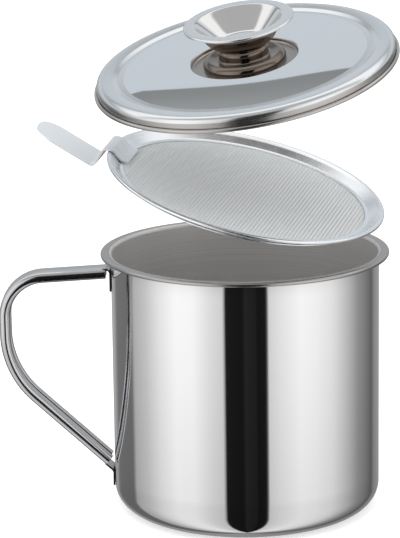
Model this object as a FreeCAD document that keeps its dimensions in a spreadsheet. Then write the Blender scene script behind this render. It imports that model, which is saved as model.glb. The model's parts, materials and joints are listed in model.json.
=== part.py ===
import FreeCAD, Part
import math
import os
import re
import Sketcher
from FreeCAD import Vector

# Stainless steel grease pot with a lift-out strainer and a domed lid, all lengths in millimetres.
# The pot stands on Z = 0 with its axis on Z and its handle towards -X.
# The strainer is drawn about the middle of its rolled edge and the lid about the underside of its lip.
# Both are then seated on the pot and swung open to the places where they rest.

doc = FreeCAD.newDocument("grease_pot")
sheet = doc.addObject("Spreadsheet::Sheet", "dims")

sizes = {
    # pot body
    "potRadius": 60.0,
    "potHeight": 118.0,
    "potSheet": 0.6,
    "potCorner": 11.0,
    "rimFlare": 4.5,
    "rimHeight": 1.8,
    "rimReturn": 2.1,
    "rimBend": 0.8,
    "neckBend": 1.5,
    # handle, a strip with both edges rolled in
    "handleTop": 111.0,
    "handleReach": 50.4,
    "handleDrop": 2.9,
    "handleElbow": 62.2,
    "handleFootHeight": 15.6,
    "handleUpperBend": 20.5,
    "handleLowerBend": 42.5,
    "handleWidth": 12.5,
    "handleDepth": 5.0,
    "handleEdgeBend": 2.4,
    "handleSheet": 0.8,
    "handleGap": 1.2,
    "upperSetback": 2.5,
    "lowerSetback": 4.1,
    "weldGap": 0.05,
    "footWidth": 10.5,
    "footOverlap": 0.3,
    "upperFootLength": 10.7,
    "lowerFootLength": 6.0,
    "footBend": 2.4,
    # strainer frame
    "seatGap": 0.3,
    "strainerInset": 1.5,
    "edgeHeight": 1.6,
    "edgeReturn": 1.7,
    "edgeBend": 0.7,
    "flangeWidth": 3.4,
    "flangeDrop": 0.2,
    "dishWidth": 3.0,
    "dishDepth": 2.6,
    "landWidth": 1.7,
    "frameSheet": 0.5,
    "frameBend": 0.8,
    # mesh and the ring that clamps it
    "meshLap": 1.7,
    "meshThick": 0.4,
    "meshSpacing": 6.0,
    "meshWire": 1.3,
    "meshBorder": 0.5,
    "ringWidth": 2.1,
    "ringThick": 0.4,
    # finger tab
    "tabAngle": 169.0,
    "tabWidth": 20.0,
    "tabThick": 0.8,
    "tabFootLap": 2.7,
    "tabFootRun": 0.3,
    "tabCrownInset": 2.7,
    "tabLift": 0.2,
    "tabWeldGap": 0.05,
    "tabHookClear": 0.35,
    "tabHookAngle": 72.0,
    "tabHookDrop": 9.8,
    "tabSmallBend": 1.5,
    "tabHookBend": 1.8,
    "tabHeelBend": 2.4,
    "tabReach": 33.0,
    "tabRise": 9.1,
    "tabTipRound": 9.0,
    # lid cover
    "lidClear": 0.9,
    "lidSheet": 0.5,
    "lipWidth": 1.4,
    "lipHeight": 1.7,
    "lipBend": 0.7,
    "lipGap": 0.3,
    "lidHeight": 6.6,
    "shoulderBend": 2.8,
    "bandWidth": 7.0,
    "bandDrop": 0.4,
    "bandBend": 1.5,
    "valleyWidth": 1.9,
    "valleyDepth": 1.3,
    "valleyBend": 1.5,
    "domeDrop": 0.45,
    "domeFlat": 0.97,
    "floorDrop": 2.1,
    "wellGap": 5.1,
    "wellDepth": 2.0,
    "wellLipBend": 0.9,
    "wellBend": 0.8,
    # knob base, collar and dish
    "knobSheet": 0.6,
    "skirtRadius": 18.3,
    "skirtRise": 4.0,
    "skirtDip": 1.4,
    "skirtBend": 2.2,
    "neckRadius": 11.0,
    "neckHeight": 7.4,
    "neckBendTop": 0.7,
    "neckFootBend": 1.5,
    "collarRadius": 14.2,
    "collarRise": 3.7,
    "collarBend": 5.0,
    "collarTopRadius": 17.6,
    "collarTopRise": 8.3,
    "bowlFootRadius": 9.5,
    "bowlLift": 3.1,
    "bowlFootBend": 2.0,
    "bowlDepth": 9.0,
    "bowlRadius": 19.1,
    "bowlEdgeBend": 1.0,
    "knobRadius": 24.2,
    "knobEdge": 1.3,
    "knobEdgeReturn": 1.2,
    "knobEdgeBend": 0.6,
    # bush, screw and washer that hold the knob
    "bushRadius": 4.0,
    "bushLength": 7.8,
    "bushBore": 6.9,
    "bushClear": 0.3,
    "screwRadius": 1.9,
    "screwClear": 0.05,
    "screwReach": 8.0,
    "holeClear": 0.3,
    "headRadius": 3.8,
    "headHeight": 1.8,
    "slotWidth": 1.0,
    "slotDepth": 0.9,
    "washerRadius": 6.0,
    "washerThick": 0.8,
    # seat of the lid on the strainer, where its lip rides up on the tab
    "lidTiltAngle": 2.5,
    "lidShift": 0.45,
    "lidRestGap": 0.35,
    "lidRestInset": 0.8,
    # swing that lifts the strainer open, about a level axis beside the seat
    "strainerSwingAngle": 15.64,
    "strainerPoleAngle": -34.5,
    "strainerPoleRadius": 106.2,
    "strainerPoleRise": 10.8,
    # swing that lifts the lid open, about an axis fixed to the strainer
    "lidSwingAngle": 23.9,
    "lidAxisAngle": -83.2,
    "lidAxisDipAngle": 0.76,
    "lidPoleX": -132.2,
    "lidPoleY": -15.6,
}
for row, (name, size) in enumerate(sizes.items(), start=1):
    sheet.set("A%d" % row, name)
    sheet.set("B%d" % row, str(size))
    sheet.setAlias("B%d" % row, name)
doc.recompute()

gauge = doc.addObject("App::FeaturePython", "gauge")
gauge.addProperty("App::PropertyFloat", "reading")


def bound(rule):
    # the rule with each name of a size written as the sheet's cell
    return re.sub("[A-Za-z]+", lambda word: ("dims." if word.group() in sizes else "") + word.group(), rule)


def solved(rule):
    gauge.setExpression("reading", bound(rule))
    gauge.recompute()
    return gauge.reading


def bind(thing, **rules):
    for prop, rule in rules.items():
        thing.setExpression(prop, bound(rule))


def bendEnds(before, corner, after):
    # where a corner's bend leaves the straight runs on its two sides
    here = corner[:2]
    back = ["((%s) - (%s))" % pair for pair in zip(before, here)]
    ahead = ["((%s) - (%s))" % pair for pair in zip(after, here)]
    backLength = "sqrt(%s^2 + %s^2)" % tuple(back)
    aheadLength = "sqrt(%s^2 + %s^2)" % tuple(ahead)
    product = "(%s * %s + %s * %s)" % (back[0], ahead[0], back[1], ahead[1])
    spread = "(%s / (%s * %s))" % (product, backLength, aheadLength)
    reach = "(%s) * sqrt((1 + %s) / (1 - %s))" % (corner[2], spread, spread)
    return [["%s + %s * %s / %s" % (at, way, reach, length) for at, way in zip(here, ways)]
            for ways, length in ((back, backLength), (ahead, aheadLength))]


def bentPath(name, corners, closed=False):
    # straight lines between the corners, each corner rounded by its own bend
    path = doc.addObject("Sketcher::SketchObject", name)
    count = len(corners)
    ends = []
    for at, corner in enumerate(corners):
        if len(corner) < 3:
            ends.append((corner, corner))
        else:
            ends.append(bendEnds(corners[at - 1], corner, corners[(at + 1) % count]))
    held = []
    rules = {}

    def fix(*parts):
        rules[len(held)] = parts[-1]
        held.append(Sketcher.Constraint(*parts[:-1], solved(parts[-1])))

    lines = []
    for at in range(count if closed else count - 1):
        run = (ends[at][1], ends[(at + 1) % count][0])
        spots = [Vector(solved(spot[0]), solved(spot[1]), 0) for spot in run]
        line = path.addGeometry(Part.LineSegment(*spots), False)
        lines.append(line)
        for end, spot in enumerate(run, start=1):
            fix("DistanceX", -1, 1, line, end, spot[0])
            fix("DistanceY", -1, 1, line, end, spot[1])
    for at, corner in enumerate(corners):
        if len(corner) < 3:
            continue
        first, last = [Vector(solved(spot[0]), solved(spot[1]), 0) for spot in ends[at]]
        tip = Vector(solved(corner[0]), solved(corner[1]), 0)
        bend = solved(corner[2])
        middle = (first + last) / 2
        inward = (middle - tip).normalize()
        half = math.asin((last - first).Length / 2 / bend)
        centre = middle + inward * (bend * math.cos(half))
        leftTurn = (tip - first).cross(last - tip).z > 0
        spots = (first, centre - inward * bend, last) if leftTurn else (last, centre - inward * bend, first)
        arc = path.addGeometry(Part.Arc(*spots), False)
        held.append(Sketcher.Constraint("Coincident", lines[at - 1], 2, arc, 1 if leftTurn else 2))
        held.append(Sketcher.Constraint("Coincident", lines[at], 1, arc, 2 if leftTurn else 1))
        fix("Radius", arc, corner[2])
    path.addConstraint(held)
    for place, rule in rules.items():
        path.setExpression("Constraints[%d]" % place, bound(rule))
    return path


def upright(path):
    # stands a sketch up, so that its second axis runs along Z
    path.Placement = FreeCAD.Placement(Vector(0, 0, 0), FreeCAD.Rotation(Vector(1, 0, 0), 90))
    return path


def thickened(path, sheetSize):
    # sheet metal section, laid on the left of the path as it is drawn
    section = doc.addObject("Part::Offset2D", path.Name + "Section")
    section.Source = path
    section.Mode = 0
    section.Join = 0
    section.Fill = True
    section.Intersection = False
    section.Value = solved(sheetSize)
    bind(section, Value=sheetSize)
    return section


def spun(name, corners, sheetSize):
    # sheet metal turned about the axis
    section = thickened(upright(bentPath(name + "Path", corners)), sheetSize)
    piece = doc.addObject("Part::Revolution", name)
    piece.Source = section
    piece.Axis = Vector(0, 0, 1)
    piece.Base = Vector(0, 0, 0)
    piece.Angle = 360
    piece.Solid = True
    return piece


def strip(name, corners, sheetSize, width):
    # sheet metal strip, bent along the path and as wide either side of it
    section = thickened(upright(bentPath(name + "Path", corners)), sheetSize)
    piece = doc.addObject("Part::Extrusion", name)
    piece.Base = section
    piece.Dir = Vector(0, 1, 0)
    piece.Solid = True
    bind(piece, LengthFwd=width + " / 2", LengthRev=width + " / 2")
    return piece


def disc(name, radius, height, floor):
    piece = doc.addObject("Part::Cylinder", name)
    bind(piece, Radius=radius, Height=height)
    piece.setExpression("Placement.Base.z", bound(floor))
    return piece


def without(name, whole, tool):
    piece = doc.addObject("Part::Cut", name)
    piece.Base = whole
    piece.Tool = tool
    return piece


def fused(name, *parts):
    piece = doc.addObject("Part::MultiFuse", name)
    piece.Shapes = list(parts)
    return piece


def swing(pole, axis, angle):
    turn = FreeCAD.Rotation(axis, angle)
    return FreeCAD.Placement(pole - turn.multVec(pole), turn)


# Radii and heights that several pieces share.
rimRadius = "(potRadius + rimFlare)"
strainerRadius = "(" + rimRadius + " - strainerInset)"
flangeInner = "(" + strainerRadius + " - flangeWidth)"
dishInner = "(" + flangeInner + " - dishWidth)"
meshOpening = "(" + dishInner + " - landWidth)"
lidWall = "(" + rimRadius + " + lidClear)"
bandInner = "(" + lidWall + " - bandWidth)"
valleyRadius = "(" + bandInner + " - valleyWidth)"
wellWall = "(skirtRadius + wellGap + lidSheet)"
wellFloor = "(lidHeight - floorDrop)"
neckTop = "(" + wellFloor + " + neckHeight)"
bowlFloor = "(" + neckTop + " + bowlLift)"
knobTop = "(" + bowlFloor + " + bowlDepth)"

# Pot body: one drawn cup, its rim turned out and folded back under itself.
potBody = spun("potCup", [
    (rimRadius + " - rimReturn", "potHeight - rimHeight"),
    (rimRadius, "potHeight - rimHeight", "rimBend"),
    (rimRadius, "potHeight", "rimBend"),
    ("potRadius - potSheet", "potHeight", "neckBend"),
    ("potRadius - potSheet", "potSheet", "potCorner - potSheet"),
    ("0", "potSheet"),
], "potSheet")

# Handle: a strip with both edges rolled towards the pot, bent to a loop,
# its bare web carried on at each end as a foot that lies against the pot's wall.
upperSlope = "handleDrop / handleReach"
lowerSlope = "(handleElbow - handleFootHeight) / handleReach"
handlePath = upright(bentPath("handlePath", [
    ("-potRadius - upperSetback", "handleTop - upperSetback * " + upperSlope),
    ("-potRadius - handleReach", "handleTop - handleDrop", "handleUpperBend"),
    ("-potRadius - handleReach", "handleElbow", "handleLowerBend"),
    ("-potRadius - lowerSetback", "handleFootHeight + lowerSetback * " + lowerSlope),
]))
rollPath = bentPath("rollPath", [
    ("handleDepth", "handleGap / 2"),
    ("handleDepth", "handleWidth / 2", "handleEdgeBend"),
    ("0", "handleWidth / 2", "handleEdgeBend"),
    ("0", "-handleWidth / 2", "handleEdgeBend"),
    ("handleDepth", "-handleWidth / 2", "handleEdgeBend"),
    ("handleDepth", "-handleGap / 2"),
])
pathStart = Vector(-solved("potRadius + upperSetback"), 0, solved("handleTop - upperSetback * " + upperSlope))
outward = Vector(-solved("handleReach"), 0, -solved("handleDrop")).normalize()
rollPath.Placement = FreeCAD.Placement(
    pathStart, FreeCAD.Rotation(outward.cross(Vector(0, 1, 0)), Vector(0, -1, 0), outward, "ZXY"))
rollSection = thickened(rollPath, "handleSheet")
handleLoop = doc.addObject("Part::Sweep", "handleLoop")
handleLoop.Sections = [rollSection]
handleLoop.Spine = (handlePath, ["Edge1", "Edge2", "Edge3", "Edge4", "Edge5"])
handleLoop.Solid = True
handleLoop.Frenet = False
wallPress = "sqrt((potRadius + weldGap)^2 - (footWidth / 2)^2)"
upperFoot = strip("upperFoot", [
    ("-" + wallPress, "handleTop - upperFootLength"),
    ("-" + wallPress, "handleTop", "footBend"),
    ("-potRadius - upperSetback - footOverlap",
     "handleTop - (upperSetback + footOverlap) * " + upperSlope),
], "handleSheet", "footWidth")
lowerFoot = strip("lowerFoot", [
    ("-potRadius - lowerSetback - footOverlap",
     "handleFootHeight + (lowerSetback + footOverlap) * " + lowerSlope),
    ("-" + wallPress + " - handleSheet", "handleFootHeight + handleSheet * " + lowerSlope, "footBend"),
    ("-" + wallPress + " - handleSheet", "handleFootHeight - lowerFootLength"),
], "handleSheet", "footWidth")
handleStrap = fused("handleStrap", handleLoop, upperFoot, lowerFoot)
wallSpace = disc("wallSpace", "potRadius + weldGap", "potHeight", "0")
potHandle = without("strapOnWall", handleStrap, wallSpace)

# Strainer frame: a rolled edge, a flange that falls inwards and a shallow dish, open in the middle.
strainerFrame = spun("strainerDish", [
    (strainerRadius + " - edgeReturn", "-edgeHeight / 2"),
    (strainerRadius, "-edgeHeight / 2", "edgeBend"),
    (strainerRadius, "edgeHeight / 2", "edgeBend"),
    (strainerRadius + " - edgeReturn", "edgeHeight / 2", "frameBend"),
    (flangeInner, "-flangeDrop", "frameBend"),
    (dishInner, "-dishDepth", "frameBend"),
    (meshOpening, "-dishDepth"),
], "frameSheet")

# Strainer mesh: one flat net under the dish's inner edge, its square openings all whole.
spacing = solved("meshSpacing")
halfOpening = solved("meshSpacing - meshWire") / 2
border = solved(meshOpening + " - meshBorder")
netTop = solved("-dishDepth - frameSheet")
openings = []
steps = int(border // spacing) + 1
for column in range(-steps, steps + 1):
    for line in range(-steps, steps + 1):
        middle = Vector(column * spacing, line * spacing, 0)
        corner = Vector(abs(middle.x) + halfOpening, abs(middle.y) + halfOpening, 0)
        if corner.Length < border:
            corners = [middle + Vector(across * halfOpening, along * halfOpening, netTop)
                       for across, along in ((-1, -1), (1, -1), (1, 1), (-1, 1), (-1, -1))]
            openings.append(Part.makePolygon(corners))
netEdge = Part.Wire(Part.makeCircle(solved(meshOpening + " + meshLap"), Vector(0, 0, netTop)))
netFace = doc.addObject("Part::Feature", "netFace")
netFace.Shape = Part.makeFace([netEdge] + openings, "Part::FaceMakerBullseye")
strainerMesh = doc.addObject("Part::Extrusion", "net")
strainerMesh.Base = netFace
strainerMesh.Dir = Vector(0, 0, -1)
strainerMesh.Solid = True
bind(strainerMesh, LengthFwd="meshThick")

# Clamp ring: a flat ring spot welded under the mesh.
ringFloor = "-dishDepth - frameSheet - meshThick - ringThick"
clampRing = without(
    "clampRing",
    disc("ringDisc", meshOpening + " + ringWidth", "ringThick", ringFloor),
    disc("ringHole", meshOpening, "ringThick", ringFloor))

# Finger tab: a strip welded to the dish, bent over the rolled edge, down past the pot's rim and out.
tabFoot = meshOpening + " - tabFootLap"
crownHeight = "edgeHeight / 2 + tabLift"
rimDepth = "(edgeHeight / 2 + seatGap + rimBend)"
hookTop = "(" + rimRadius + " + tabHookClear - (" + crownHeight + " + " + rimDepth + ") / tan(tabHookAngle))"
heelRadius = hookTop + " + tabHookDrop / tan(tabHookAngle)"
heelHeight = crownHeight + " - tabHookDrop"
tabTip = rimRadius + " + tabReach"
tabStrip = strip("tabStrip", [
    (tabFoot, "-dishDepth + tabWeldGap"),
    (meshOpening + " + tabFootRun", "-dishDepth + tabWeldGap", "tabSmallBend"),
    (strainerRadius + " - tabCrownInset", crownHeight, "tabSmallBend"),
    (hookTop, crownHeight, "tabHookBend"),
    (heelRadius, heelHeight, "tabHeelBend"),
    (tabTip, heelHeight + " + tabRise"),
], "tabThick", "tabWidth")
tabPlan = bentPath("tabPlan", [
    (tabFoot + " - tabWidth", "-tabWidth / 2"),
    (tabTip, "-tabWidth / 2", "tabTipRound"),
    (tabTip, "tabWidth / 2", "tabTipRound"),
    (tabFoot + " - tabWidth", "tabWidth / 2"),
], closed=True)
tabBlock = doc.addObject("Part::Extrusion", "tabBlock")
tabBlock.Base = tabPlan
tabBlock.Dir = Vector(0, 0, 1)
tabBlock.Solid = True
bind(tabBlock, LengthFwd="tabHookDrop + tabRise", LengthRev="tabHookDrop + tabRise")
strainerTab = doc.addObject("Part::Common", "tabCut")
strainerTab.Base = tabStrip
strainerTab.Tool = tabBlock

# Lid cover: a well in the middle for the knob, a low dome, a valley, a flat band, shoulder, wall and lip.
domeMiddle = "(" + wellWall + " + " + valleyRadius + ") / 2"
domeHalf = "((" + valleyRadius + " - " + wellWall + ") / 2)"
domeSag = "(valleyDepth - 2 * domeDrop + floorDrop - wellDepth)"
domeBend = "2 * (" + domeHalf + " - domeFlat) * " + domeHalf + " / " + domeSag
lidCover = spun("lidShell", [
    ("screwRadius + holeClear", wellFloor + " - lidSheet"),
    (wellWall, wellFloor + " - lidSheet", "wellBend + lidSheet"),
    (wellWall, wellFloor + " + wellDepth - lidSheet", "wellLipBend - lidSheet"),
    (domeMiddle, "lidHeight - domeDrop - lidSheet", domeBend),
    (valleyRadius, "lidHeight - valleyDepth - lidSheet", "valleyBend"),
    (bandInner, "lidHeight - bandDrop - lidSheet", "bandBend"),
    (lidWall, "lidHeight - lidSheet", "shoulderBend - lidSheet"),
    (lidWall, "0"),
    (lidWall + " + lidSheet + lipWidth", "0", "lipBend"),
    (lidWall + " + lidSheet + lipWidth", "lipHeight", "lipBend"),
    (lidWall + " + lidSheet + lipGap", "lipHeight"),
], "lidSheet")

# Knob base: a skirt with a rounded edge that stands on the floor of the well, and a neck.
skirtTop = wellFloor + " + skirtRise - knobSheet"
knobBase = spun("knobCup", [
    ("bushRadius + bushClear", neckTop + " - knobSheet"),
    ("neckRadius - knobSheet", neckTop + " - knobSheet", "neckBendTop"),
    ("neckRadius - knobSheet", skirtTop + " - skirtDip", "neckFootBend"),
    ("skirtRadius - knobSheet", skirtTop, "skirtBend"),
    ("skirtRadius - knobSheet", wellFloor),
], "knobSheet")

# Knob collar: flares from the neck up towards the dish.
knobCollar = spun("collarFlare", [
    ("collarTopRadius", neckTop + " + collarTopRise"),
    ("collarRadius", neckTop + " + collarRise", "collarBend"),
    ("neckRadius - knobSheet", neckTop + " + knobSheet", "neckBendTop"),
    ("bushRadius + bushClear", neckTop + " + knobSheet"),
], "knobSheet")

# Knob dish: the wide bowl on top, its flange folded under.
knobDish = spun("dishBowl", [
    ("knobRadius - knobEdgeReturn", knobTop + " - knobEdge"),
    ("knobRadius", knobTop + " - knobEdge", "knobEdgeBend"),
    ("knobRadius", knobTop, "knobEdgeBend"),
    ("bowlRadius", knobTop, "bowlEdgeBend"),
    ("bowlFootRadius", bowlFloor, "bowlFootBend"),
    ("0", bowlFloor),
], "knobSheet")

# Threaded bush welded under the dish, through collar and base.
bushFloor = bowlFloor + " - knobSheet - bushLength"
knobInsert = without(
    "bush",
    disc("bushRod", "bushRadius", "bushLength", bushFloor),
    disc("bushHole", "screwRadius + screwClear", "bushBore", bushFloor))

# Washer and slotted screw under the well, drawing the knob down on the lid.
washerFloor = wellFloor + " - lidSheet - washerThick"
knobWasher = without(
    "washer",
    disc("washerDisc", "washerRadius", "washerThick", washerFloor),
    disc("washerHole", "screwRadius + holeClear", "washerThick", washerFloor))
screwHead = disc("screwHead", "headRadius", "headHeight", washerFloor + " - headHeight")
screwShank = disc("screwShank", "screwRadius", "screwReach + lidSheet + washerThick", washerFloor)
screwSlot = doc.addObject("Part::Box", "screwSlot")
bind(screwSlot, Length="2 * headRadius", Width="slotWidth", Height="slotDepth")
screwSlot.setExpression("Placement.Base.x", bound("-headRadius"))
screwSlot.setExpression("Placement.Base.y", bound("-slotWidth / 2"))
screwSlot.setExpression("Placement.Base.z", bound(washerFloor + " - headHeight"))
knobScrew = without("screw", fused("screwBlank", screwHead, screwShank), screwSlot)

doc.recompute()

# Places: the seats first, then the swings that open strainer and lid.
seatHeight = solved("potHeight + seatGap + edgeHeight / 2")
strainerSeat = FreeCAD.Placement(Vector(0, 0, seatHeight), FreeCAD.Rotation())
strainerAxis = FreeCAD.Rotation(Vector(0, 0, 1), solved("strainerPoleAngle + 90")).multVec(Vector(1, 0, 0))
strainerPole = strainerSeat.multVec(
    FreeCAD.Rotation(Vector(0, 0, 1), solved("strainerPoleAngle")).multVec(
        Vector(solved("strainerPoleRadius"), 0, solved("strainerPoleRise"))))
strainerPlace = swing(strainerPole, strainerAxis, solved("strainerSwingAngle")).multiply(strainerSeat)

tabTurn = FreeCAD.Placement(Vector(0, 0, 0), FreeCAD.Rotation(Vector(0, 0, 1), solved("tabAngle")))
lidLean = FreeCAD.Rotation(Vector(0, 1, 0), -solved("lidTiltAngle"))
restRadius = "(" + strainerRadius + " - lidRestInset)"
restSpot = Vector(-solved(restRadius), 0, solved("edgeHeight / 2 + lidRestGap"))
restDrop = "bandDrop * (" + lidWall + " - " + restRadius + " - lidShift) / bandWidth"
lidRest = Vector(-solved(restRadius + " + lidShift"), 0, solved("lidHeight - lidSheet - " + restDrop))
lidSeat = tabTurn.multiply(FreeCAD.Placement(restSpot - lidLean.multVec(lidRest), lidLean))
lidAxis = FreeCAD.Rotation(solved("lidAxisAngle"), solved("lidAxisDipAngle"), 0).multVec(Vector(1, 0, 0))
lidPole = Vector(solved("lidPoleX"), solved("lidPoleY"), 0)
lidPlace = strainerPlace.multiply(swing(lidPole, lidAxis, solved("lidSwingAngle"))).multiply(lidSeat)

pieces = {
    "pot_body": (potBody, FreeCAD.Placement()),
    "pot_handle": (potHandle, FreeCAD.Placement()),
    "strainer_frame": (strainerFrame, strainerPlace),
    "strainer_mesh": (strainerMesh, strainerPlace),
    "mesh_clamp_ring": (clampRing, strainerPlace),
    "strainer_tab": (strainerTab, strainerPlace.multiply(tabTurn)),
    "lid_cover": (lidCover, lidPlace),
    "knob_base": (knobBase, lidPlace),
    "knob_collar": (knobCollar, lidPlace),
    "knob_dish": (knobDish, lidPlace),
    "knob_insert": (knobInsert, lidPlace),
    "knob_screw": (knobScrew, lidPlace),
    "knob_washer": (knobWasher, lidPlace),
}
for name, (piece, place) in pieces.items():
    piece.Label = name
    piece.Placement = place
doc.recompute()

print("strainer pole", strainerPole, "axis", strainerAxis)
print("lid pole", strainerPlace.multVec(lidPole), "axis", strainerPlace.Rotation.multVec(lidAxis))

for thing in doc.Objects:
    if "Invalid" in thing.State or "Error" in thing.State:
        raise RuntimeError("%s failed: %s" % (thing.Label, thing.State))
for name, (piece, place) in pieces.items():
    if piece.Shape.isNull() or not piece.Shape.isValid() or len(piece.Shape.Solids) != 1:
        raise RuntimeError("%s has no sound solid" % name)
    print(name, "volume %.1f" % piece.Shape.Volume, "faces", len(piece.Shape.Faces))

os.makedirs("parts", exist_ok=True)
for name, (piece, place) in pieces.items():
    piece.Shape.exportStep("parts/%s.step" % name)
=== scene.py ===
import json
import math

import bmesh
import bpy
from mathutils import Matrix, Vector


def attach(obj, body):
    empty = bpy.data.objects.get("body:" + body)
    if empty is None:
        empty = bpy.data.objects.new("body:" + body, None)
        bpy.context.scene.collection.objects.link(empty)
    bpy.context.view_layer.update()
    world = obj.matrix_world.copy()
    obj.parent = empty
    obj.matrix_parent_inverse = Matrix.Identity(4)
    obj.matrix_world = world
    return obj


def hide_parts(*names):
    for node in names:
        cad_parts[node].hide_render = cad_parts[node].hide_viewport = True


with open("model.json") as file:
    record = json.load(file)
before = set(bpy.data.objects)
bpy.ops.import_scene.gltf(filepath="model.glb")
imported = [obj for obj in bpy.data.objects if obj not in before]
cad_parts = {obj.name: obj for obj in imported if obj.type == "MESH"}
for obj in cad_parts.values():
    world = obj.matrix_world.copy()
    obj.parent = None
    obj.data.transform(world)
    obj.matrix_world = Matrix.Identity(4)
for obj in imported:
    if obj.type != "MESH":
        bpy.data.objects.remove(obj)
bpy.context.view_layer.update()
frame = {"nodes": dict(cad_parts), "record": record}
print("frame loaded")

mm = 0.001  # pieces are given in millimetres, and angles in degrees


# shader maths

class Signal:  # a socket that can be added, multiplied and compared
    def __init__(self, web, socket):
        self.web = web
        self.socket = socket

    def calc(self, operation, other):
        return self.web.maths(operation, self, other)

    def __add__(self, other):
        return self.web.maths("ADD", self, other)

    def __radd__(self, other):
        return self.web.maths("ADD", other, self)

    def __sub__(self, other):
        return self.web.maths("SUBTRACT", self, other)

    def __rsub__(self, other):
        return self.web.maths("SUBTRACT", other, self)

    def __mul__(self, other):
        return self.web.maths("MULTIPLY", self, other)

    def __rmul__(self, other):
        return self.web.maths("MULTIPLY", other, self)

    def __truediv__(self, other):
        return self.web.maths("DIVIDE", self, other)

    def __rtruediv__(self, other):
        return self.web.maths("DIVIDE", other, self)

    def __pow__(self, other):
        return self.web.maths("POWER", self, other)

    def __rpow__(self, other):
        return self.web.maths("POWER", other, self)

    def __gt__(self, other):
        return self.web.maths("GREATER_THAN", self, other)

    def __lt__(self, other):  # also what 0.5 > signal becomes
        return self.web.maths("LESS_THAN", self, other)

    def ramp(self, low, high):  # 0 below low, 1 above high, smooth between
        return self.web.add("ShaderNodeMapRange", {"interpolation_type": "SMOOTHSTEP"},
                            {"Value": self, "From Min": low, "From Max": high})


class Web:  # one node tree, emptied, with one way to add a node
    def __init__(self, tree):
        self.tree = tree
        tree.nodes.clear()

    def add(self, kind, settings=None, inputs=None, output=0):
        node = self.tree.nodes.new(kind)
        for name, setting in (settings or {}).items():
            if name == "stops":
                stops = node.color_ramp.elements
                while len(stops) < len(setting):
                    stops.new(0.5)
                for stop, (place, colour) in zip(stops, setting):
                    stop.position = place
                    stop.color = (*colour, 1)
            else:
                setattr(node, name, setting)
        for name, value in (inputs or {}).items():
            if isinstance(value, Signal):
                self.tree.links.new(value.socket, node.inputs[name])
            else:
                node.inputs[name].default_value = value
        return Signal(self, node.outputs[output]) if node.outputs else node

    def maths(self, operation, first, second):
        return self.add("ShaderNodeMath", {"operation": operation}, {0: first, 1: second})

    def split(self, vector):
        apart = self.add("ShaderNodeSeparateXYZ", inputs={"Vector": vector})
        return [Signal(self, socket) for socket in apart.socket.node.outputs]

    def join(self, x, y, z):
        return self.add("ShaderNodeCombineXYZ", inputs={"X": x, "Y": y, "Z": z})

    def noise(self, vector, scale, detail, roughness):
        return self.add("ShaderNodeTexNoise", inputs={
            "Vector": vector, "Scale": scale, "Detail": detail, "Roughness": roughness})

    def ray(self, kind):  # 1 for rays of that kind, otherwise 0
        path = self.add("ShaderNodeLightPath")
        return Signal(self, path.socket.node.outputs[kind])

    def mixColours(self, factor, first, second):
        return self.add("ShaderNodeMix", {"data_type": "RGBA"}, {0: factor, 6: first, 7: second}, output=2)


def grey(level):
    return (level, level, level)


def newMaterial(name):
    material = bpy.data.materials.new(name)
    material.use_nodes = True
    return material, Web(material.node_tree)


def finishMaterial(web, shader):
    web.add("ShaderNodeOutputMaterial", inputs={"Surface": shader})


# places of strainer, tab and lid, from the joints that lift them

seats = {
    "strainerHeight": 119.1,  # of the middle of the closed strainer's edge, over the floor
    "tabAngle": 169.0,
    "lidTilt": 2.5,  # the closed lid leans, because its lip rides up on the tab
    "lidRestRadius": 62.2,  # across from the tab it rests on the strainer's edge
    "lidRestHeight": 1.15,
    "lidShift": 0.45,
    "lidUnderside": 5.943,  # height in the lid of the spot that rests there
}
joints = {joint["name"]: joint for joint in frame["record"]["behaviour"]["joints"]}


def lifted(name):  # the turn from the closed place, the joint's lower limit, to the place at rest
    joint = joints[name]
    pole = Matrix.Translation(joint["pos_m"])
    turn = Matrix.Rotation(-math.radians(joint["range_deg"][0]), 4, Vector(joint["axis"]))
    return pole @ turn @ pole.inverted()


strainerPlace = lifted("strainer_lift") @ Matrix.Translation((0, 0, seats["strainerHeight"] * mm))
tabPlace = strainerPlace @ Matrix.Rotation(math.radians(seats["tabAngle"]), 4, "Z")
lean = Matrix.Rotation(-math.radians(seats["lidTilt"]), 4, "Y")
restSpot = Matrix.Translation(Vector((-seats["lidRestRadius"], 0, seats["lidRestHeight"])) * mm)
underside = Matrix.Translation(
    Vector((seats["lidRestRadius"] + seats["lidShift"], 0, -seats["lidUnderside"])) * mm)
lidPlace = lifted("lid_lift") @ tabPlace @ restSpot @ lean @ underside


# steel finishes, each drawn in the piece's own coordinates

wear = {
    "cloud": (28.0, 4.0, 0.55),  # slow changes of tone: scale, detail, roughness
    "cloudDepth": 0.04,
    "smear": (90.0, 3.0, 0.6),  # changes of gloss
    "grain": (1.0, 2.0, 0.7),  # brush lines, on coordinates that are stretched across them
    "alongFineness": 700.0,
    "acrossFineness": 4200.0,
    "ringWander": 0.6,  # how far clouds push brushed rings about
    "cloudRelief": 0.4,
    "bumpDistance": 0.00004,  # metres
    "smearGloss": 0.5,
    "grainGloss": 0.35,
    "leastRoughness": 0.02,
    "weldRadii": (1.1, 1.6),  # where a weld's print ends and where it starts
    "weldShade": 0.6,
    "weldPress": 6.0,
}


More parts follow.
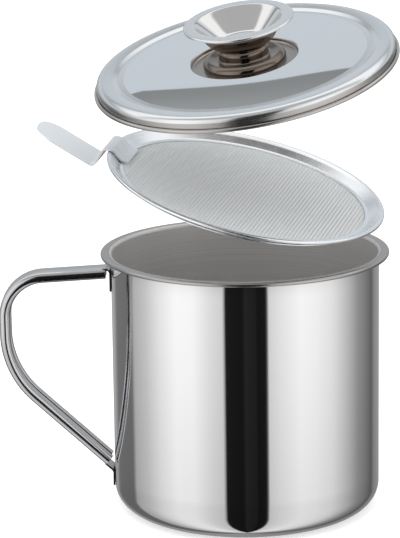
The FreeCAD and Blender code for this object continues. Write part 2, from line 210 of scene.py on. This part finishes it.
def steel(name, tone, dark, roughness, brushed, lines="rings", fineness=5200.0, relief=0.02,
          metallic=1.0, place=Matrix(), welds=()):
    # brush lines are rings about the piece's Z axis, or run along its X axis
    material, web = newMaterial(name)
    back = place.inverted()
    spot = web.add("ShaderNodeMapping", inputs={
        "Vector": web.add("ShaderNodeTexCoord", output=3),
        "Location": back.translation, "Rotation": back.to_euler()})
    x, y, z = web.split(spot)
    cloud = web.noise(spot, *wear["cloud"])
    smear = web.noise(spot, *wear["smear"])
    if lines == "rings":
        radius = (x * x + y * y) ** 0.5
        stretched = web.join(radius * fineness, z * fineness, cloud * wear["ringWander"])
    else:
        across = wear["acrossFineness"]
        stretched = web.join(x * wear["alongFineness"], y * across, z * across)
    grain = web.noise(stretched, *wear["grain"])
    worn = (cloud - 0.5) * wear["cloudDepth"] + (grain - 0.5) * brushed
    shade = (worn + 0.5).ramp(0.0, 1.0)
    height = grain * brushed + cloud * wear["cloudRelief"]
    inner, outer = wear["weldRadii"]
    for weldX, weldY in welds:
        reach = ((x - weldX * mm) ** 2 + (y - weldY * mm) ** 2) ** 0.5
        weldPrint = 1 - reach.ramp(inner * mm, outer * mm)
        shade = shade * (1 - weldPrint * wear["weldShade"])
        height = height - weldPrint * wear["weldPress"]
    uneven = (smear - 0.5) * (roughness * wear["smearGloss"])
    uneven = uneven + (grain - 0.5) * (brushed * wear["grainGloss"])
    shader = web.add("ShaderNodeBsdfPrincipled", inputs={
        "Base Color": web.mixColours(shade, (*dark, 1), (*tone, 1)),
        "Metallic": metallic,
        "Roughness": (uneven + roughness).calc("MAXIMUM", wear["leastRoughness"]),
        "Normal": web.add("ShaderNodeBump", inputs={
            "Strength": relief, "Distance": wear["bumpDistance"], "Height": height})})
    finishMaterial(web, shader)
    return material


finishes = {
    "polished": steel("polished steel", (0.80, 0.80, 0.803), (0.70, 0.70, 0.703), 0.045, brushed=0.04),
    "handle": steel("handle steel", (0.64, 0.64, 0.65), (0.50, 0.50, 0.51), 0.13, brushed=0.15),
    # the rim: satin steel, its tone darkened well below the wall's as painted shade
    "rim": steel("satin rim painted shade", (0.50, 0.485, 0.475), (0.36, 0.345, 0.335), 0.22, brushed=0.5, relief=0.15),
    # painted light: the inside's brushed steel is lighter than the outside's, to make up for the light that
    # the lid and strainer keep out
    "inside": steel("brushed inside painted light", (0.90, 0.885, 0.87), (0.56, 0.54, 0.53), 0.36, brushed=0.9,
                    relief=0.6, metallic=0.45, fineness=3400.0),
    "lid": steel("lid steel", (0.76, 0.775, 0.79), (0.72, 0.735, 0.75), 0.022, brushed=0.02,
                 relief=0.005, place=lidPlace),
    "lidBand": steel("lid band", (0.76, 0.775, 0.79), (0.70, 0.715, 0.73), 0.20, brushed=0.15,
                     relief=0.05, place=lidPlace),
    # painted shade and reflection: the well gets a dark brown copy of the lid's steel, standing in for the
    # shade in the recess and the dark knob mirrored there
    "lidWellShade": steel("lid well shade", (0.42, 0.385, 0.365), (0.30, 0.27, 0.255), 0.25, brushed=0.3,
                     place=lidPlace),
    # painted shade: a darker, browner copy of the lid's steel for the lip, the wall and the underside
    "lidLipShade": steel("lid lip shade", (0.60, 0.58, 0.56), (0.44, 0.42, 0.405), 0.24, brushed=0.4,
                    relief=0.1, place=lidPlace),
    "knob": steel("knob steel", (0.78, 0.775, 0.77), (0.66, 0.655, 0.65), 0.07, brushed=0.1,
                  place=lidPlace),
    "knobFlange": steel("knob flange", (0.84, 0.85, 0.86), (0.72, 0.73, 0.74), 0.26, brushed=0.4,
                        relief=0.12, place=lidPlace),
    # painted reflection: the knob's base and collar get a dark brown copy of the knob steel, standing in
    # for the dark surroundings they mirror
    "knobPaintedDark": steel("knob steel painted dark", (0.23, 0.19, 0.16), (0.13, 0.105, 0.09), 0.13, brushed=0.2,
                      place=lidPlace),
    "strainer": steel("strainer steel", (0.93, 0.945, 0.96), (0.80, 0.815, 0.83), 0.26, brushed=0.3,
                      relief=0.1, place=strainerPlace),
    "wire": steel("mesh wire", (0.96, 0.985, 1.0), (0.88, 0.905, 0.92), 0.32, brushed=0.2,
                  lines="along", metallic=0.12, place=strainerPlace),
    "tab": steel("tab steel", (0.94, 0.955, 0.97), (0.80, 0.815, 0.83), 0.40, brushed=0.35,
                 lines="along", relief=0.15, metallic=0.7, place=tabPlace,
                 welds=[(58.5, -4.5), (58.5, 4.5)]),
    "fastener": steel("fastener steel", (0.66, 0.66, 0.65), (0.48, 0.48, 0.47), 0.25, brushed=0.4,
                      place=lidPlace),
}
print("finishes made")


# outlines: straight runs joined by round bends, with the normals on their left

def leftOf(way):
    return Vector((-way.y, way.x)).normalized()


def bentLine(corners, stepDegrees=11.0, longestStep=2.0, fewestSteps=3):
    # a corner with a third number is rounded to that radius, and one with two stays sharp
    spots = [Vector(corner[:2]) for corner in corners]
    line = [(spots[0], leftOf(spots[1] - spots[0]))]
    for at in range(1, len(corners) - 1):
        spot = spots[at]
        back = (spots[at - 1] - spot).normalized()
        ahead = (spots[at + 1] - spot).normalized()
        if len(corners[at]) < 3:
            before, after = leftOf(-back), leftOf(ahead)
            line.append((spot, (before + after) / (1 + before.dot(after))))
            continue
        bend = corners[at][2]
        half = back.angle(ahead) / 2
        centre = spot + (back + ahead).normalized() * (bend / math.sin(half))
        spoke = spot + back * (bend / math.tan(half)) - centre
        side = 1 if (-back).x * ahead.y - (-back).y * ahead.x > 0 else -1
        sweep = math.pi - 2 * half
        steps = max(fewestSteps, math.ceil(math.degrees(sweep) / stepDegrees),
                    math.ceil(bend * sweep / longestStep))
        for step in range(steps + 1):
            turn = Matrix.Rotation(side * sweep * step / steps, 2)
            arm = turn @ spoke
            line.append((centre + arm, arm * (-side / bend)))
    line.append((spots[-1], leftOf(spots[-1] - spots[-2])))
    return line


def longRuns(line, longest):  # splits long straight runs, so that shading stays even
    full = [line[0]]
    for (before, normalBefore), (after, normalAfter) in zip(line, line[1:]):
        count = max(1, math.ceil((after - before).length / longest))
        for step in range(1, count + 1):
            part = step / count
            full.append((before.lerp(after, part), normalBefore.lerp(normalAfter, part)))
    return full


# pieces

mergeGap = 1e-7  # metres
axisGap = 1e-6  # millimetres


def makePiece(name, verts, faces, materials, faceMaterials=None, sharp=35.0):
    mesh = bpy.data.meshes.new(name)
    mesh.from_pydata([tuple(vert) for vert in verts], [], faces)
    for material in materials:
        mesh.materials.append(finishes[material])
    if faceMaterials is not None:
        mesh.polygons.foreach_set("material_index", faceMaterials)
    work = bmesh.new()
    work.from_mesh(mesh)
    bmesh.ops.remove_doubles(work, verts=work.verts, dist=mergeGap)
    bmesh.ops.recalc_face_normals(work, faces=work.faces)
    work.to_mesh(mesh)
    work.free()
    mesh.shade_smooth()
    mesh.set_sharp_from_angle(angle=math.radians(sharp))
    piece = bpy.data.objects.new(name, mesh)
    bpy.context.scene.collection.objects.link(piece)
    return piece


def lathe(name, corners, sheet, materials, steps, place=Matrix(), runs=8.0, pick=None):
    # sheet metal spun about Z, its thickness on the left of the outline
    line = longRuns(bentLine(corners), runs)
    ring = [point for point, normal in line]
    ring += [point + normal * sheet for point, normal in reversed(line)]
    count = len(ring)
    verts = []
    for step in range(steps):
        turn = 2 * math.pi * step / steps
        for point in ring:
            out = max(point.x, 0) * mm
            verts.append(place @ Vector((out * math.cos(turn), out * math.sin(turn), point.y * mm)))
    faces, marks = [], []
    for step in range(steps):
        here, there = step * count, (step + 1) % steps * count
        for at in range(count):
            after = (at + 1) % count
            if ring[at].x < axisGap and ring[after].x < axisGap:
                continue
            faces.append((here + at, there + at, there + after, here + after))
            middle = (ring[at] + ring[after]) / 2
            onOutline = at < len(line) - 1
            marks.append(pick(middle, onOutline) if pick else 0)
    return makePiece(name, verts, faces, materials, marks)


def skinFaces(rows, count, start=0):
    # faces over rows of count points, from vertex start on, with both ends closed
    faces = []
    for row in range(rows - 1):
        here, there = start + row * count, start + (row + 1) * count
        for at in range(count):
            after = (at + 1) % count
            faces.append((here + at, here + after, there + after, there + at))
    end = start + (rows - 1) * count
    faces.append(tuple(range(start, start + count)))
    faces.append(tuple(range(end + count - 1, end - 1, -1)))
    return faces


# pot

pot = {"radius": 60.0, "height": 118.0, "sheet": 0.6, "corner": 11.0,
       "rimRadius": 64.5, "rimRoll": 1.8, "rimFold": 2.1, "rimBend": 0.8, "neckBend": 1.5,
       "satinShadeDepth": 2.0, "satinShadeStart": 0.7}  # how far the rim's satin finish, its tone darkened as painted shade, reaches down and in


def makePot():
    def pickFinish(middle, onOutline):
        # the rim: satin steel, darker as painted shade
        if middle.y > pot["height"] - pot["satinShadeDepth"] and middle.x > pot["radius"] + pot["satinShadeStart"]:
            return 2
        # the inside: brushed steel lightened as painted light
        return 1 if onOutline else 0

    inner = pot["radius"] - pot["sheet"]
    body = lathe("potBody", [
        (pot["rimRadius"] - pot["rimFold"], pot["height"] - pot["rimRoll"]),
        (pot["rimRadius"], pot["height"] - pot["rimRoll"], pot["rimBend"]),
        (pot["rimRadius"], pot["height"], pot["rimBend"]),
        (inner, pot["height"], pot["neckBend"]),
        (inner, pot["sheet"], pot["corner"] - pot["sheet"]),
        (0, pot["sheet"]),
    ], pot["sheet"], ["polished", "inside", "rim"], steps=320, pick=pickFinish)
    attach(body, "pot")
    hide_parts("pot_body")


# handle

handle = {"top": 111.0, "reach": 50.4, "drop": 2.9, "elbow": 62.2, "foot": 15.6,
          "upperBend": 20.5, "lowerBend": 42.5, "width": 12.5, "depth": 5.0, "roll": 2.4,
          "sheet": 0.8, "gap": 1.2, "lipDip": 0.25, "lipBend": 0.8, "lipBack": 1.5, "lipOut": 1.3,
          "upperSetback": 2.5, "lowerSetback": 4.1, "footLap": 0.3, "weldGap": 0.05,
          "footWidth": 10.5, "upperFoot": 10.7, "lowerFoot": 6.0, "footBend": 2.4,
          "pressFade": 2.0}  # how far from the wall a foot is still hollowed to fit it


def sweep(line, ring):
    # a closed ring of (inward, sideways) points carried along a line in the XZ plane
    verts = []
    for point, normal in line:
        for depth, side in ring:
            spot = point + normal * depth
            verts.append(Vector((spot.x, side, spot.y)) * mm)
    return verts


def footStrip(corners, columns=8, longest=1.5):
    # flat strip along the line, its end pressed to the round wall
    line = longRuns(bentLine(corners), longest)
    half = handle["footWidth"] / 2
    across = [half * (2 * step / columns - 1) for step in range(columns + 1)]
    ring = [(0, side) for side in across] + [(handle["sheet"], side) for side in reversed(across)]
    verts = sweep(line, ring)
    reach = pot["radius"] + handle["weldGap"]
    for vert in verts:
        clear = -vert.x / mm - reach - handle["sheet"]
        near = 1 - min(1, max(0, clear / handle["pressFade"]))
        side = vert.y / mm
        vert.x += (reach - math.sqrt(reach ** 2 - side ** 2)) * near * mm
    return verts, len(line), len(ring)


def makeHandle():
    top, drop, elbow, foot = handle["top"], handle["drop"], handle["elbow"], handle["foot"]
    upper, lower = drop / handle["reach"], (elbow - foot) / handle["reach"]  # slopes of the two runs
    upperSetback, lowerSetback = handle["upperSetback"], handle["lowerSetback"]
    wall, far = -pot["radius"], -pot["radius"] - handle["reach"]
    loop = longRuns(bentLine([
        (wall - upperSetback, top - upperSetback * upper),
        (far, top - drop, handle["upperBend"]),
        (far, elbow, handle["lowerBend"]),
        (wall - lowerSetback, foot + lowerSetback * lower),
    ], stepDegrees=3.0), longest=4.0)

    half, gap, depth, roll = handle["width"] / 2, handle["gap"] / 2, handle["depth"], handle["roll"]
    rolledEdge = [
        (depth - handle["lipBack"], gap + handle["lipOut"]),
        (depth - handle["lipDip"], gap, handle["lipBend"]),
        (depth, half, roll),
        (0, half, roll),
    ]
    otherEdge = [(inward, -side, *bend) for inward, side, *bend in reversed(rolledEdge)]
    section = bentLine(rolledEdge + otherEdge, stepDegrees=18.0)
    ring = [tuple(point) for point, normal in section]
    ring += [tuple(point + normal * handle["sheet"]) for point, normal in reversed(section)]
    verts = sweep(loop, ring)
    faces = skinFaces(len(loop), len(ring))

    skin = wall - handle["weldGap"]
    outer = skin - handle["sheet"]
    upperLap, lowerLap = upperSetback + handle["footLap"], lowerSetback + handle["footLap"]
    upperFoot = [
        (skin, top - handle["upperFoot"]),
        (skin, top, handle["footBend"]),
        (wall - upperLap, top - upperLap * upper),
    ]
    lowerFoot = [
        (wall - lowerLap, foot + lowerLap * lower),
        (outer, foot + handle["sheet"] * lower, handle["footBend"]),
        (outer, foot - handle["lowerFoot"]),
    ]
    for corners in (upperFoot, lowerFoot):
        stripVerts, rows, count = footStrip(corners)
        faces += skinFaces(rows, count, len(verts))
        verts += stripVerts
    strap = makePiece("handleStrap", verts, faces, ["handle"])
    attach(strap, "pot")
    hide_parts("pot_handle")


# strainer

strainer = {"radius": 63.0, "edge": 1.6, "fold": 1.7, "bend": 0.7, "flangeInner": 59.6, "flangeDrop": 0.2,
            "dishInner": 56.6, "dishDepth": 2.6, "opening": 54.9, "sheet": 0.5, "frameBend": 0.8,
            "meshRadius": 56.6, "meshThick": 0.4, "ringRadius": 57.0, "ringThick": 0.4}
weave = {"pitch": 1.1, "wire": 0.26, "wave": 0.17, "turn": 31.0, "margin": 0.4}


def makeStrainerFrame():
    half = strainer["edge"] / 2
    dish = lathe("strainerFrame", [
        (strainer["radius"] - strainer["fold"], -half),
        (strainer["radius"], -half, strainer["bend"]),
        (strainer["radius"], half, strainer["bend"]),
        (strainer["radius"] - strainer["fold"], half, strainer["frameBend"]),
        (strainer["flangeInner"], -strainer["flangeDrop"], strainer["frameBend"]),
        (strainer["dishInner"], -strainer["dishDepth"], strainer["frameBend"]),
        (strainer["opening"], -strainer["dishDepth"]),
    ], strainer["sheet"], ["strainer"], steps=256, place=strainerPlace)
    netFloor = -strainer["dishDepth"] - strainer["sheet"] - strainer["meshThick"]
    ring = lathe("meshRing", [
        (strainer["ringRadius"], netFloor),
        (strainer["opening"], netFloor),
    ], strainer["ringThick"], ["strainer"], steps=192, place=strainerPlace)
    for piece, node in ((dish, "strainer_frame"), (ring, "mesh_clamp_ring")):
        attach(piece, "strainer")
        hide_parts(node)


def wireSet(along):
    # wires that run one way, each over and under the ones that it crosses
    pitch, thick, wave = weave["pitch"], weave["wire"], weave["wave"]
    reach = strainer["meshRadius"] - weave["margin"]
    middle = -strainer["dishDepth"] - strainer["sheet"] - strainer["meshThick"] / 2
    place = strainerPlace @ Matrix.Rotation(math.radians(weave["turn"]), 4, "Z")
    section = [(thick, 0), (0, thick), (-thick, 0), (0, -thick)]
    verts, faces = [], []
    most = int(reach // pitch)
    for row in range(-most, most + 1):
        side = row * pitch
        span = int(math.sqrt(reach ** 2 - side ** 2) // pitch)
        if span < 1:
            continue
        faces += skinFaces(2 * span + 1, len(section), len(verts))
        for crossing in range(-span, span + 1):
            run = crossing * pitch
            height = middle + (wave if (crossing + row + along) % 2 else -wave)
            for across, rise in section:
                spot = (run, side + across) if along else (side + across, run)
                verts.append(place @ (Vector((*spot, height + rise)) * mm))
    return makePiece("meshWeft" if along else "meshWarp", verts, faces, ["wire"], sharp=80.0)


def makeMesh():
    for along in (0, 1):
        piece = wireSet(along)
        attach(piece, "strainer")
        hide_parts("strainer_mesh")


# finger tab

tab = {"width": 20.0, "thick": 0.8, "foot": 52.2, "footBend": 55.2, "crown": 60.3, "lift": 0.2,
       "hookClear": 0.35, "hookSlope": 72.0, "hookDrop": 9.8, "smallBend": 1.5, "hookBend": 1.8,
       "heelBend": 2.4, "tip": 97.5, "rise": 9.1, "round": 9.0, "weldGap": 0.05, "seatGap": 0.3}


def makeTab(columns=12, longest=0.6):
    lift = strainer["edge"] / 2 + tab["lift"]
    slope = math.tan(math.radians(tab["hookSlope"]))
    drop = strainer["edge"] / 2 + tab["seatGap"] + pot["rimBend"]
    hook = pot["rimRadius"] + tab["hookClear"] - (lift + drop) / slope
    heel = (hook + tab["hookDrop"] / slope, lift - tab["hookDrop"])
    floor = -strainer["dishDepth"] + tab["weldGap"]
    line = longRuns(bentLine([
        (tab["foot"], floor),
        (tab["footBend"], floor, tab["smallBend"]),
        (tab["crown"], lift, tab["smallBend"]),
        (hook, lift, tab["hookBend"]),
        (*heel, tab["heelBend"]),
        (tab["tip"], heel[1] + tab["rise"]),
    ]), longest)
    half, corner = tab["width"] / 2, tab["round"]
    verts = []
    for point, normal in line:
        gone = point.x - (tab["tip"] - corner)  # how far into the rounded end
        wide = half - corner + math.sqrt(max(corner ** 2 - gone ** 2, 0)) if gone > 0 else half
        sides = [wide * (2 * step / columns - 1) for step in range(columns + 1)]
        for depth, row in ((0, sides), (tab["thick"], sides[::-1])):
            spot = point + normal * depth
            verts += [tabPlace @ (Vector((spot.x, side, spot.y)) * mm) for side in row]
    faces = skinFaces(len(line), 2 * (columns + 1))
    strip = makePiece("fingerTab", verts, faces, ["tab"])
    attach(strip, "strainer")
    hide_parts("strainer_tab")


# lid

lid = {"clear": 0.9, "sheet": 0.5, "lipWidth": 1.4, "lipHeight": 1.7, "lipBend": 0.7, "lipOpen": 0.3,
       "height": 6.6, "shoulder": 2.8, "bandInner": 58.4, "bandDrop": 0.4, "bandBend": 1.5,
       "valley": 56.5, "valleyDepth": 1.3, "valleyBend": 1.5, "domeDrop": 0.45, "domeBend": 1000.0,
       "well": 23.4, "floor": 4.5, "wellLip": 6.5, "wellLipBend": 0.9, "wellBend": 0.8, "hole": 2.2,
       "domeEdge": 53.6, "wallTop": 4.4, "wellEdge": 23.8}  # where one finish ends and the next starts


def makeLid():
    wall, sheet = pot["rimRadius"] + lid["clear"], lid["sheet"]
    out = wall + sheet + lid["lipWidth"]

    def pickFinish(middle, onOutline):  # the outline is the underside
        # the underside, the wall and the lip take the darker lip steel, as painted shade
        if onOutline or middle.y < lid["wallTop"] and middle.x > lid["valley"]:
            return 2
        # the well: lid steel painted dark for its shade and the knob's reflection
        if middle.x < lid["wellEdge"]:
            return 3
        return 1 if middle.x > lid["domeEdge"] else 0

    cover = lathe("lidCover", [
        (lid["hole"], lid["floor"] - sheet),
        (lid["well"] + sheet, lid["floor"] - sheet, lid["wellBend"] + sheet),
        (lid["well"] + sheet, lid["wellLip"] - sheet, lid["wellLipBend"] - sheet),
        ((lid["well"] + sheet + lid["valley"]) / 2, lid["height"] - lid["domeDrop"] - sheet,
         lid["domeBend"] - sheet),
        (lid["valley"], lid["height"] - lid["valleyDepth"] - sheet, lid["valleyBend"]),
        (lid["bandInner"], lid["height"] - lid["bandDrop"] - sheet, lid["bandBend"]),
        (wall, lid["height"] - sheet, lid["shoulder"] - sheet),
        (wall, 0),
        (out, 0, lid["lipBend"]),
        (out, lid["lipHeight"], lid["lipBend"]),
        (wall + sheet + lid["lipOpen"], lid["lipHeight"]),
    ], sheet, ["lid", "lidBand", "lidLipShade", "lidWellShade"], steps=320, place=lidPlace, runs=3.0, pick=pickFinish)
    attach(cover, "lid")
    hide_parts("lid_cover")


# knob

knob = {"sheet": 0.6, "skirt": 18.3, "skirtTop": 8.5, "skirtDip": 1.4, "skirtBend": 2.2,
        "neck": 11.0, "neckTop": 11.9, "neckBend": 0.7, "neckFoot": 1.5,
        "collar": 14.2, "collarRise": 3.7, "collarBend": 5.0, "collarTop": 17.6, "collarTopRise": 8.3,
        "bowlFoot": 9.5, "bowlLift": 3.1, "bowlFootBend": 2.0, "bowlDepth": 9.0, "bowl": 19.1,
        "bowlEdge": 1.0, "radius": 24.2, "edge": 1.3, "edgeFold": 1.2, "edgeBend": 0.6, "hole": 4.3}


def knobPiece(name, node, corners, materials, steps, pick=None):
    piece = lathe(name, corners, knob["sheet"], materials, steps, place=lidPlace, runs=2.0, pick=pick)
    piece.visible_glossy = node == "knob_base"  # the photographed lid shows no image of the knob
    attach(piece, "lid")
    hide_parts(node)


def makeKnob():
    sheet, neckTop = knob["sheet"], knob["neckTop"]
    neck, skirt = knob["neck"] - sheet, knob["skirt"] - sheet
    bowlFloor = neckTop + knob["bowlLift"]
    top = bowlFloor + knob["bowlDepth"]

    def pickDish(middle, onOutline):
        return 1 if onOutline and middle.x > knob["bowl"] + sheet else 0

    # base and collar are painted dark for the dark reflections they show
    knobPiece("knobBase", "knob_base", [
        (knob["hole"], neckTop - sheet),
        (neck, neckTop - sheet, knob["neckBend"]),
        (neck, knob["skirtTop"] - sheet - knob["skirtDip"], knob["neckFoot"]),
        (skirt, knob["skirtTop"] - sheet, knob["skirtBend"]),
        (skirt, lid["floor"]),
    ], ["knobPaintedDark"], steps=160)
    knobPiece("knobCollar", "knob_collar", [
        (knob["collarTop"], neckTop + knob["collarTopRise"]),
        (knob["collar"], neckTop + knob["collarRise"], knob["collarBend"]),
        (neck, neckTop + sheet, knob["neckBend"]),
        (knob["hole"], neckTop + sheet),
    ], ["knobPaintedDark"], steps=160)
    knobPiece("knobDish", "knob_dish", [
        (knob["radius"] - knob["edgeFold"], top - knob["edge"]),
        (knob["radius"], top - knob["edge"], knob["edgeBend"]),
        (knob["radius"], top, knob["edgeBend"]),
        (knob["bowl"], top, knob["bowlEdge"]),
        (knob["bowlFoot"], bowlFloor, knob["bowlFootBend"]),
        (0, bowlFloor),
    ], ["knob", "knobFlange"], steps=200, pick=pickDish)


def dressFasteners():
    for node in ("knob_insert", "knob_screw", "knob_washer"):
        materials = frame["nodes"][node].data.materials
        materials.clear()
        materials.append(finishes["fastener"])


makePot()
makeHandle()
print("pot made")
makeStrainerFrame()
makeMesh()
makeTab()
print("strainer made")
makeLid()
makeKnob()
dressFasteners()
print("lid made")


# studio: a pale floor, a soft lamp above and a world that is plain but for what polished steel sees

studio = {
    # what stands round the pot, by azimuth in degrees from the camera's side, +X positive
    "around": [(-180, 0.40), (-158, 0.46), (-145, 0.20), (-116, 0.19), (-111, 0.55), (-95, 0.72),
               (-79, 1.02), (-62, 1.26), (-46, 1.24), (-30, 0.96), (-19, 0.82), (-17.4, 0.014),
               (-3, 0.01), (0, 0.024), (3, 0.02), (8.5, 0.018), (10, 0.01), (18, 0.012),
               (19.6, 0.86), (30, 1.02), (48, 1.22), (62, 1.16), (79, 1.0), (96, 0.66),
               (112, 0.36), (138, 0.14), (146, 0.30), (165, 0.38), (180, 0.40)],
    # what hangs over it, by the angle from the wall behind over the top to the camera's side
    "above": [(0, (0.50, 0.50, 0.50)), (15, (0.52, 0.53, 0.54)), (21, (0.70, 0.75, 0.80)),
              (46, (0.72, 0.77, 0.81)), (58, (1.2, 1.2, 1.2)), (86, (1.2, 1.2, 1.2)),
              (94, (0.56, 0.57, 0.57)), (180, (0.5, 0.5, 0.5))],
    # a dark gap over the bluish panel behind: its lower edge is a low arch
    "gapTone": (0.30, 0.31, 0.31, 1),
    "gapLightTone": (0.42, 0.43, 0.43, 1),
    "gapLightening": 5.0,  # over so many degrees above its lower edge
    "gapHeight": 36.0,
    "gapLowest": 33.4,
    "gapMiddle": -5.5,
    "gapArch": 0.0574,
    "gapClimb": 0.04,
    "gapEnds": (41.0, 45.0),
    "fallHeights": (0.24, 0.36),  # what stands around darkens downwards
    "fall": 0.22,
    "frontSpan": (-0.1, 0.3),  # towards the camera, things around reach higher
    "frontRise": 0.6,
    "meeting": (-0.05, 0.12),  # heights where what stands around gives way to what hangs above
    "plain": 1.0,
    "floorTone": 0.86,
    "floorGlow": 0.42,
    "floorReach": 30.0,  # metres, as are the lamp's size and places
    "lampPower": 8.0,
    "lampSize": 1.2,
    "lampPlace": (-0.2, -0.3, 1.6),
    "lampAim": (0.0, 0.0, 0.05),
}


def makeWorld():
    world = bpy.data.worlds.new("studio")
    bpy.context.scene.world = world
    world.use_nodes = True
    web = Web(world.node_tree)
    x, y, z = web.split(web.add("ShaderNodeTexCoord", output=0))
    degrees = 180 / math.pi

    turn = x.calc("ARCTAN2", y * -1.0) / (2 * math.pi) + 0.5
    around = web.add("ShaderNodeValToRGB", {"stops": [
        ((angle + 180) / 360, grey(level)) for angle, level in studio["around"]]}, {"Fac": turn})
    fall = (z * -1).ramp(*studio["fallHeights"]) * studio["fall"]
    around = web.mixColours(fall, around, (0, 0, 0, 1))

    rise = z.calc("ARCTAN2", y) * degrees
    above = web.add("ShaderNodeValToRGB", {"stops": [
        (angle / 180, tone) for angle, tone in studio["above"]]}, {"Fac": rise / 180})
    aside = x.calc("ARCTAN2", y) * degrees - studio["gapMiddle"]
    left, right = aside.calc("MINIMUM", 0.0), aside.calc("MAXIMUM", 0.0)
    arch = (studio["gapHeight"] - left * left * studio["gapArch"]).calc("MAXIMUM", studio["gapLowest"])
    arch = arch + right * studio["gapClimb"]
    gapTone = web.mixColours(
        (rise - arch).ramp(0.0, studio["gapLightening"]), studio["gapTone"], studio["gapLightTone"])
    inGap = (rise > arch) * (1 - rise.ramp(*studio["gapEnds"]))
    above = web.mixColours(inGap, above, gapTone)

    edge = (y * -1).ramp(*studio["frontSpan"]) * studio["frontRise"]
    seen = web.mixColours((z - edge).ramp(*studio["meeting"]), around, above)
    colour = web.mixColours(web.ray("Is Glossy Ray"), (*grey(studio["plain"]), 1), seen)
    colour = web.mixColours(web.ray("Is Camera Ray"), colour, (1, 1, 1, 1))
    glow = web.add("ShaderNodeBackground", inputs={"Color": colour, "Strength": 1.0})
    web.add("ShaderNodeOutputWorld", inputs={"Surface": glow})


def makeFloor():
    material, web = newMaterial("pale floor")
    matte = web.add("ShaderNodeBsdfDiffuse", inputs={"Color": (*grey(studio["floorTone"]), 1)})
    glow = web.add("ShaderNodeEmission", inputs={
        "Color": (1, 1, 1, 1), "Strength": web.ray("Is Camera Ray") * studio["floorGlow"]})
    finishMaterial(web, web.add("ShaderNodeAddShader", inputs={0: matte, 1: glow}))
    reach = studio["floorReach"]
    corners = [(-reach, -reach, 0), (reach, -reach, 0), (reach, reach, 0), (-reach, reach, 0)]
    mesh = bpy.data.meshes.new("floor")
    mesh.from_pydata(corners, [], [(0, 1, 2, 3)])
    mesh.materials.append(material)
    floor = bpy.data.objects.new("floor", mesh)
    bpy.context.scene.collection.objects.link(floor)
    floor.visible_glossy = False


def makeLamp():
    data = bpy.data.lights.new("overhead", "AREA")
    data.size = studio["lampSize"]
    data.energy = studio["lampPower"]
    lamp = bpy.data.objects.new("overhead", data)
    bpy.context.scene.collection.objects.link(lamp)
    lamp.location = studio["lampPlace"]
    lamp.rotation_euler = (Vector(studio["lampAim"]) - lamp.location).to_track_quat("-Z", "Y").to_euler()
    lamp.visible_glossy = False


# camera, where the photograph was taken from

camera = {
    "elevation": 13.59,
    "roll": -0.55,
    "distance": 1.2,  # metres, as is the aim
    "aim": (0.0, 0.0, 0.1089),
    "aimPixel": 244.9,  # column of the aim point in the picture
    "focalPixels": 2679.4,
    "pictureWidth": 400.0,
    "pictureHeight": 538.0,
    "film": 36.0,
    "nearest": 0.05,
    "farthest": 50.0,
}


def makeCamera():
    elevation, roll = math.radians(camera["elevation"]), math.radians(camera["roll"])
    forward = Vector((0, math.cos(elevation), -math.sin(elevation)))
    right = Vector((1, 0, 0))
    up = right.cross(forward)
    right, up = right * math.cos(roll) + up * math.sin(roll), up * math.cos(roll) - right * math.sin(roll)
    place = Vector(camera["aim"]) - forward * camera["distance"]
    pan = math.atan((camera["aimPixel"] - camera["pictureWidth"] / 2) / camera["focalPixels"])
    forward, right = (forward * math.cos(pan) - right * math.sin(pan),
                      right * math.cos(pan) + forward * math.sin(pan))
    data = bpy.data.cameras.new("camera")
    data.sensor_fit = "AUTO"
    data.sensor_width = camera["film"]
    data.lens = camera["film"] * camera["focalPixels"] / camera["pictureHeight"]
    data.clip_start, data.clip_end = camera["nearest"], camera["farthest"]
    eye = bpy.data.objects.new("camera", data)
    bpy.context.scene.collection.objects.link(eye)
    turn = Matrix((right, up, -forward)).transposed()
    eye.matrix_world = Matrix.Translation(place) @ turn.to_4x4()
    bpy.context.scene.camera = eye


makeWorld()
makeFloor()
makeLamp()
makeCamera()
bpy.context.scene.view_settings.view_transform = "Standard"
print("studio made")
